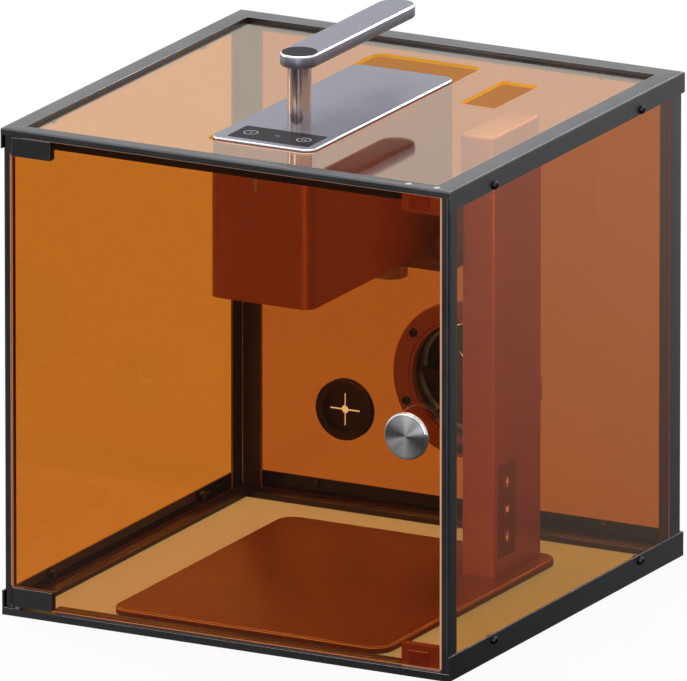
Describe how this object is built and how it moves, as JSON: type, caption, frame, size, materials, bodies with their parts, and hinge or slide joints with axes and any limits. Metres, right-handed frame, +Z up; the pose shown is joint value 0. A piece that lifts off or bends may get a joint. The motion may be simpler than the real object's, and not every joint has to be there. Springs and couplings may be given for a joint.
{
  "type": "desktop laser cutter",
  "caption": "Compact scanning-head laser cutter: dark column and head on a work plate, inside a square amber acrylic enclosure with front door, rear exhaust collar and cable grommet.",
  "frame": {"origin": "middle of the enclosure's footprint, on the surface it stands on", "axes": "+X to the right seen from the front, +Y to the back, +Z up; the door is at -Y"},
  "size_m": [0.4056, 0.4376, 0.4593],
  "materials": {
    "frame_black": "black anodised, satin",
    "amber_acrylic": "clear amber acrylic, polished",
    "floor_white": "opal sheet, translucent",
    "black_steel": "blackened steel",
    "bright_steel": "turned, bright",
    "magnet_nickel": "nickel plated",
    "duct_plastic": "black, moulded",
    "fan_plastic": "black, moulded",
    "grommet_rubber": "black rubber",
    "body_dark": "dark grey, fine satin",
    "inner_aluminium": "dark anodised",
    "motor_metal": "black body",
    "keypad_plastic": "black, fine texture",
    "key_plastic": "dark grey, pale symbols",
    "nut_brass": "turned",
    "knob_black": "black anodised",
    "satin_silver": "bead blasted, anodised",
    "control_glass": "black touch glass",
    "light_lens": "milky light pipe",
    "lens_glass": "coated lens",
    "mirror_glass": "polished",
    "board_green": "circuit board",
    "cap_black": "black disc"
  },
  "bodies": {
    "enclosure": {"bottom_front_bar": "frame_black", "bottom_back_bar": "frame_black", "bottom_side_bars": "frame_black", "top_front_bar": "frame_black", "top_back_bar": "frame_black", "top_side_bars": "frame_black", "front_posts": "frame_black", "back_posts": "frame_black", "side_panels": "amber_acrylic", "back_panel": "amber_acrylic", "top_panel": "amber_acrylic", "floor_panel": "floor_white", "panel_screws": "black_steel", "panel_nuts": "black_steel", "hinge_pins": "bright_steel", "catch_blocks": "frame_black", "catch_magnets": "magnet_nickel", "catch_screws": "bright_steel", "exhaust_flange": "duct_plastic", "duct_collar": "duct_plastic", "exhaust_screws": "black_steel", "fan_frame": "fan_plastic", "cable_grommet": "grommet_rubber", "base_plate": "body_dark", "column_shell": "body_dark", "guide_plates": "inner_aluminium", "guide_rods": "black_steel", "lift_motor": "motor_metal", "screw_bearing": "black_steel", "button_panel": "keypad_plastic"},
    "door": {"door_panel": "amber_acrylic", "hinge_blocks": "frame_black", "door_screws": "black_steel", "strike_plates": "bright_steel", "door_knob": "bright_steel"},
    "lift_screw": {"lead_screw": "black_steel"},
    "head": {"lift_carriage": "inner_aluminium", "lead_nut": "nut_brass", "arm_bracket": "inner_aluminium", "head_shell": "body_dark", "head_top_plate": "satin_silver", "control_glass": "control_glass", "status_light": "light_lens", "lens_barrel": "knob_black", "lens_glass": "lens_glass", "laser_module": "inner_aluminium", "galvo_motors": "motor_metal", "head_fan_frame": "fan_plastic", "control_board": "board_green", "handle_post": "bright_steel"},
    "clamp": {"clamp_knob": "knob_black"},
    "exhaust_rotor": {"fan_impeller": "fan_plastic"},
    "cooling_rotor": {"head_fan_impeller": "fan_plastic"},
    "scan_mirror_x": {"x_mirror": "mirror_glass"},
    "scan_mirror_y": {"y_mirror": "mirror_glass"},
    "handle": {"handle_lever": "satin_silver", "handle_cap": "cap_black"},
    "key_up": {"up_button": "key_plastic"},
    "key_stop": {"stop_button": "key_plastic"},
    "key_down": {"down_button": "key_plastic"}
  },
  "joints": [
    {"name": "door_swing", "type": "hinge", "parent": "enclosure", "child": "door", "pos_m": [-0.187, -0.1976, 0.2], "axis": [0, 0, -1], "range_deg": [0, 105]},
    {"name": "head_lift", "type": "slide", "parent": "enclosure", "child": "head", "axis": [0, 0, 1], "range_m": [-0.12, 0.05]},
    {"name": "lead_screw_spin", "type": "hinge", "parent": "enclosure", "child": "lift_screw", "pos_m": [0.09675, 0.08125, 0.2], "axis": [0, 0, 1], "range_deg": [-5401, 2251]},
    {"name": "clamp_knob_turn", "type": "hinge", "parent": "head", "child": "clamp", "pos_m": [0.02, 0.042, 0.2545], "axis": [0, 0, 1], "continuous": true},
    {"name": "exhaust_fan_spin", "type": "hinge", "parent": "enclosure", "child": "exhaust_rotor", "pos_m": [0.008, 0.2065, 0.121], "axis": [0, 1, 0], "continuous": true},
    {"name": "cooling_fan_spin", "type": "hinge", "parent": "head", "child": "cooling_rotor", "pos_m": [0.0033, 0.093, 0.345], "axis": [0, 1, 0], "continuous": true},
    {"name": "x_mirror_scan", "type": "hinge", "parent": "head", "child": "scan_mirror_x", "pos_m": [-0.0187, -0.075, 0.32], "axis": [0, 0, 1], "range_deg": [-10, 10]},
    {"name": "y_mirror_scan", "type": "hinge", "parent": "head", "child": "scan_mirror_y", "pos_m": [0.0033, -0.075, 0.32], "axis": [0, 1, 0], "range_deg": [-10, 10]},
    {"name": "handle_swivel", "type": "hinge", "parent": "head", "child": "handle", "pos_m": [0.0033, -0.0805, 0.4486], "axis": [0, 0, 1], "range_deg": [0, 90]},
    {"name": "key_up_press", "type": "slide", "parent": "enclosure", "child": "key_up", "axis": [-1, 0, 0], "range_m": [0, 0.0008], "stiffness_N_per_m": 600, "springref_m": -0.0004},
    {"name": "key_stop_press", "type": "slide", "parent": "enclosure", "child": "key_stop", "axis": [-1, 0, 0], "range_m": [0, 0.0008], "stiffness_N_per_m": 600, "springref_m": -0.0004},
    {"name": "key_down_press", "type": "slide", "parent": "enclosure", "child": "key_down", "axis": [-1, 0, 0], "range_m": [0, 0.0008], "stiffness_N_per_m": 600, "springref_m": -0.0004}
  ],
  "couplings": [
    {"joint": "lead_screw_spin", "follows": "head_lift", "rad_per_m": 785.4}
  ]
}
